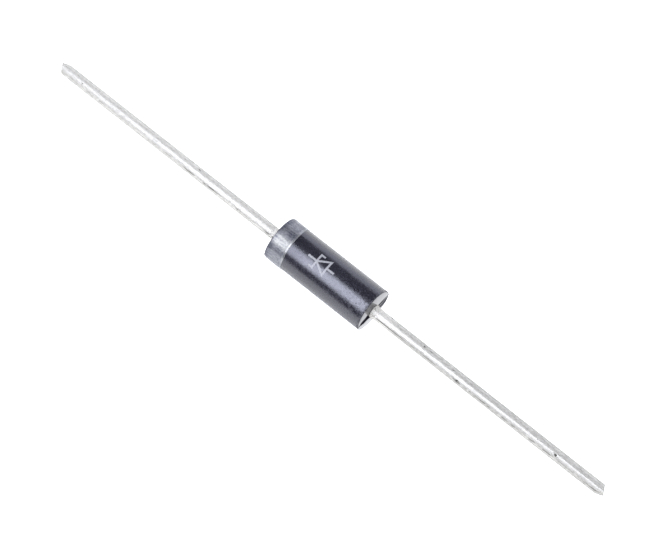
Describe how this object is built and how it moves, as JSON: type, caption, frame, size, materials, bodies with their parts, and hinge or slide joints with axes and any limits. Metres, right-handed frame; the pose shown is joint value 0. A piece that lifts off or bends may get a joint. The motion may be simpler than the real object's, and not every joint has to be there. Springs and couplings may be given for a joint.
{
  "type": "zener diode",
  "caption": "Axial zener diode: black moulded cylinder with a silver cathode band and straight tinned leads with cut tips, for through-hole soldering.",
  "frame": {"origin": "the middle of the moulded body, on the axis of the leads", "axes": "+X along the leads, from the banded cathode end to the anode end; the mould's parting plane is z = 0 and +Z is square to it"},
  "size_m": [0.051, 0.0036, 0.0036],
  "materials": {
    "epoxy": "black moulded epoxy, semi-gloss",
    "band_ink": "silver-grey printed ink",
    "tinned_copper": "satin tin plating on copper wire",
    "silicon": "polished silicon",
    "solder": "soft solder",
    "silicone": "cured silicone, satin"
  },
  "bodies": {
    "root": {"epoxy_body": "epoxy", "cathode_band": "band_ink", "cathode_lead": "tinned_copper", "anode_lead": "tinned_copper", "zener_die": "silicon", "cathode_solder": "solder", "anode_solder": "solder", "junction_coating": "silicone"}
  },
  "joints": []
}
